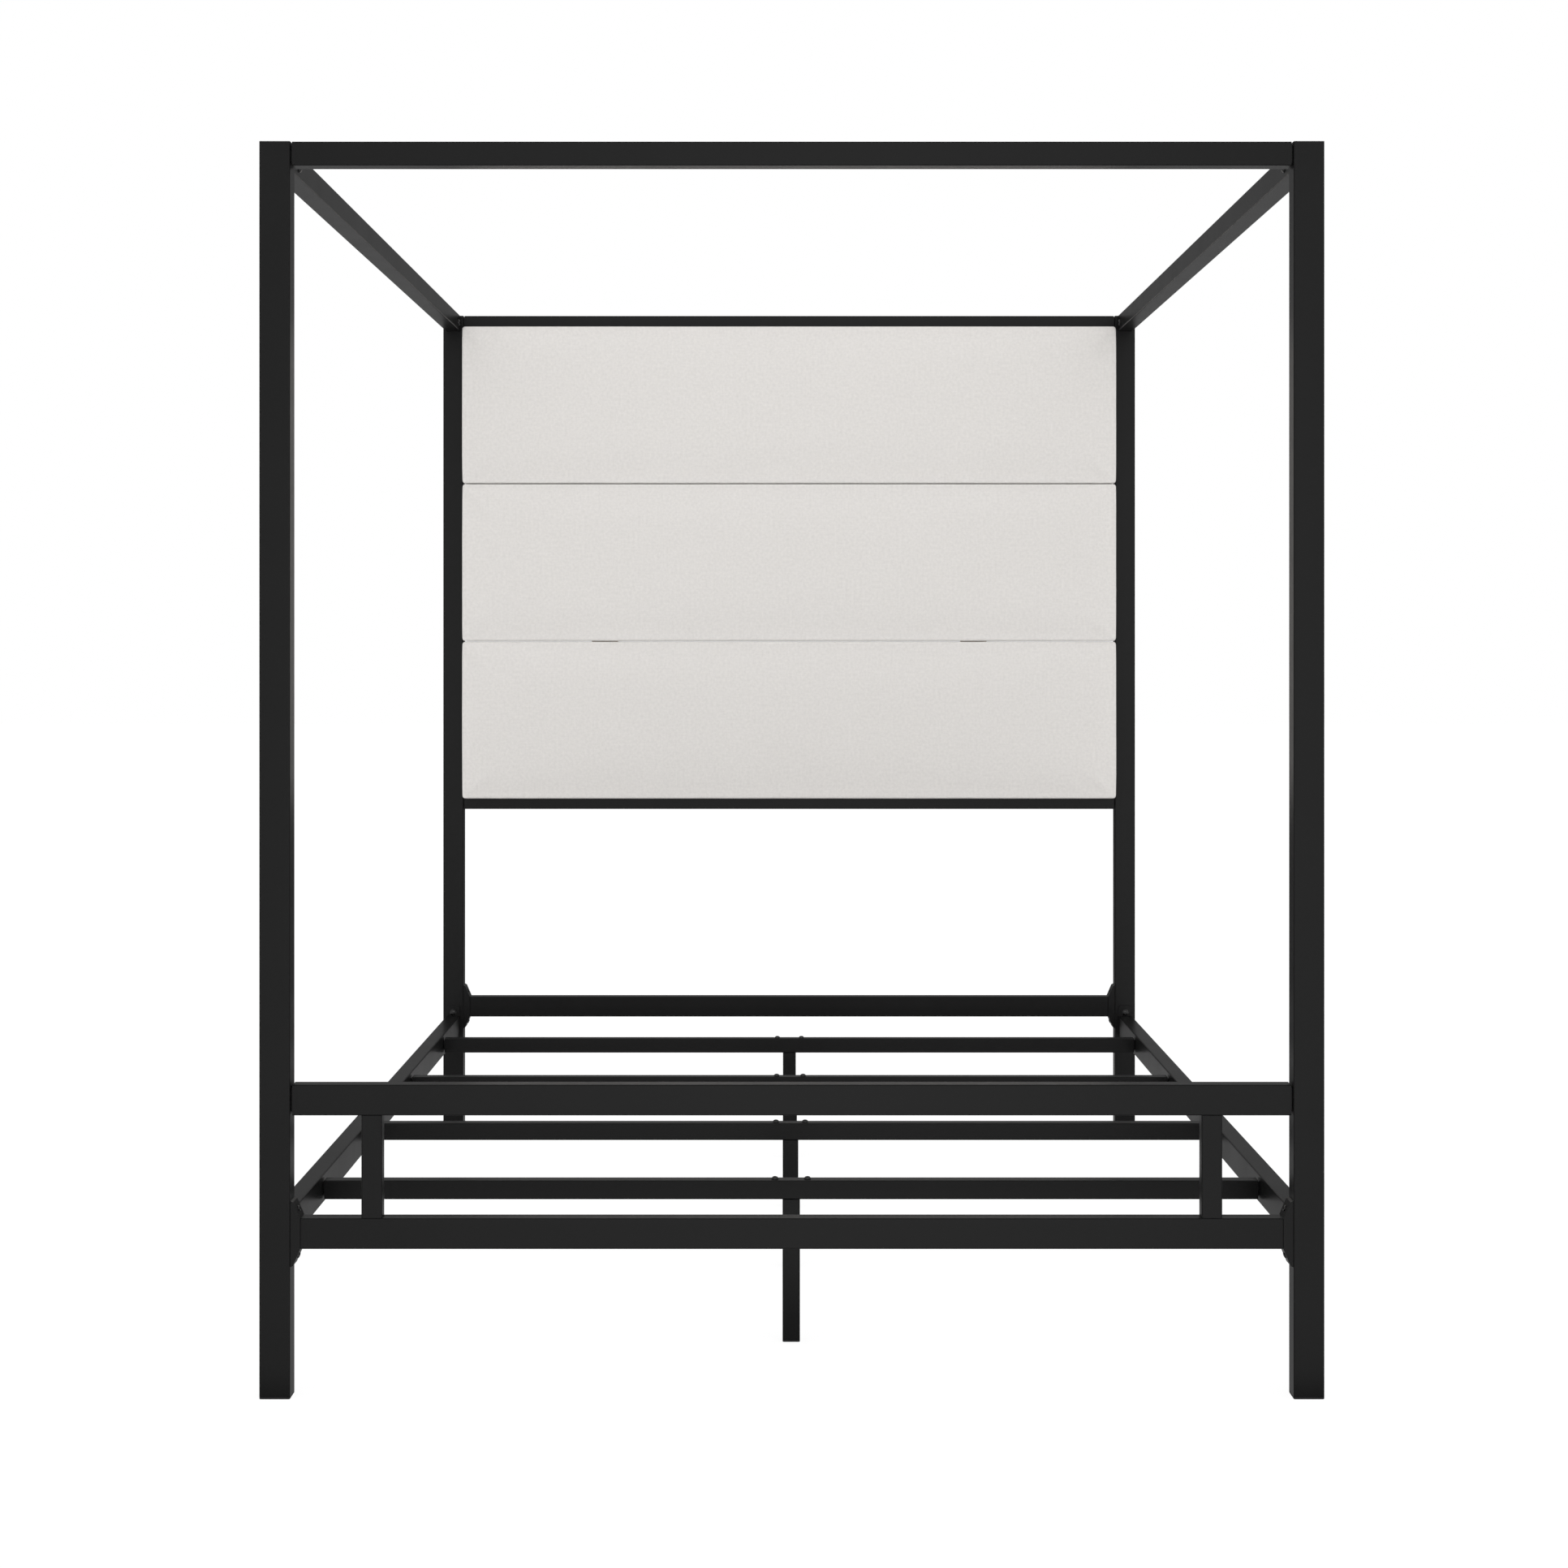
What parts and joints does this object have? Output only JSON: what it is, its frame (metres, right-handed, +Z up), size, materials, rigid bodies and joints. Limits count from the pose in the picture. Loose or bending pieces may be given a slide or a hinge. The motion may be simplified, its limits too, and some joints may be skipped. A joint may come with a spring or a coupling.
{
  "type": "four poster canopy bed",
  "caption": "Black metal four poster canopy bed with an open canopy frame, a headboard of stacked upholstered panels, a low rail footboard and cross slats on centre legs.",
  "frame": {"origin": "on the floor, in the middle of the footprint", "axes": "+Z up, +Y from the foot end to the head, +X to the right seen from the foot end"},
  "size_m": [1.6182, 2.159, 1.905],
  "materials": {
    "frame": "satin black powder coat",
    "bolt": "black oxide, slightly shiny",
    "foot": "matt black moulded plastic",
    "linen": "off-white mottled linen weave over foam",
    "plywood": "plain sanded plywood and timber",
    "zinc_steel": "zinc plated"
  },
  "bodies": {
    "root": {"post_front_left": "frame", "post_front_right": "frame", "post_rear_left": "frame", "post_rear_right": "frame", "post_foot_front_left": "foot", "post_foot_front_right": "foot", "post_foot_rear_left": "foot", "post_foot_rear_right": "foot", "canopy_rail_foot": "frame", "canopy_rail_head": "frame", "canopy_rail_left": "frame", "canopy_rail_right": "frame", "headboard_crossbar": "frame", "headboard_panel_bottom": "linen", "headboard_panel_middle": "linen", "headboard_panel_top": "linen", "headboard_board_bottom": "plywood", "headboard_board_middle": "plywood", "headboard_board_top": "plywood", "headboard_batten_left": "plywood", "headboard_batten_right": "plywood", "rear_lower_rail": "frame", "footboard_upper_rail": "frame", "footboard_lower_rail": "frame", "footboard_strut_left": "frame", "footboard_strut_right": "frame", "corner_bracket_front_left": "frame", "corner_bracket_front_right": "frame", "corner_bracket_rear_left": "frame", "corner_bracket_rear_right": "frame", "side_rail_left": "frame", "side_rail_right": "frame", "slat_first": "frame", "slat_second": "frame", "slat_third": "frame", "slat_fourth": "frame", "centre_leg_first": "frame", "centre_leg_second": "frame", "centre_leg_third": "frame", "centre_leg_fourth": "frame", "leg_foot_first": "foot", "leg_foot_second": "foot", "leg_foot_third": "foot", "leg_foot_fourth": "foot", "leg_bar_first": "zinc_steel", "leg_bar_second": "zinc_steel", "leg_bar_third": "zinc_steel", "leg_bar_fourth": "zinc_steel", "slat_bolt_first_left": "bolt", "slat_bolt_first_right": "bolt", "slat_bolt_second_left": "bolt", "slat_bolt_second_right": "bolt", "slat_bolt_third_left": "bolt", "slat_bolt_third_right": "bolt", "slat_bolt_fourth_left": "bolt", "slat_bolt_fourth_right": "bolt", "post_bolt_left": "bolt", "post_bolt_right": "bolt"}
  },
  "joints": []
}
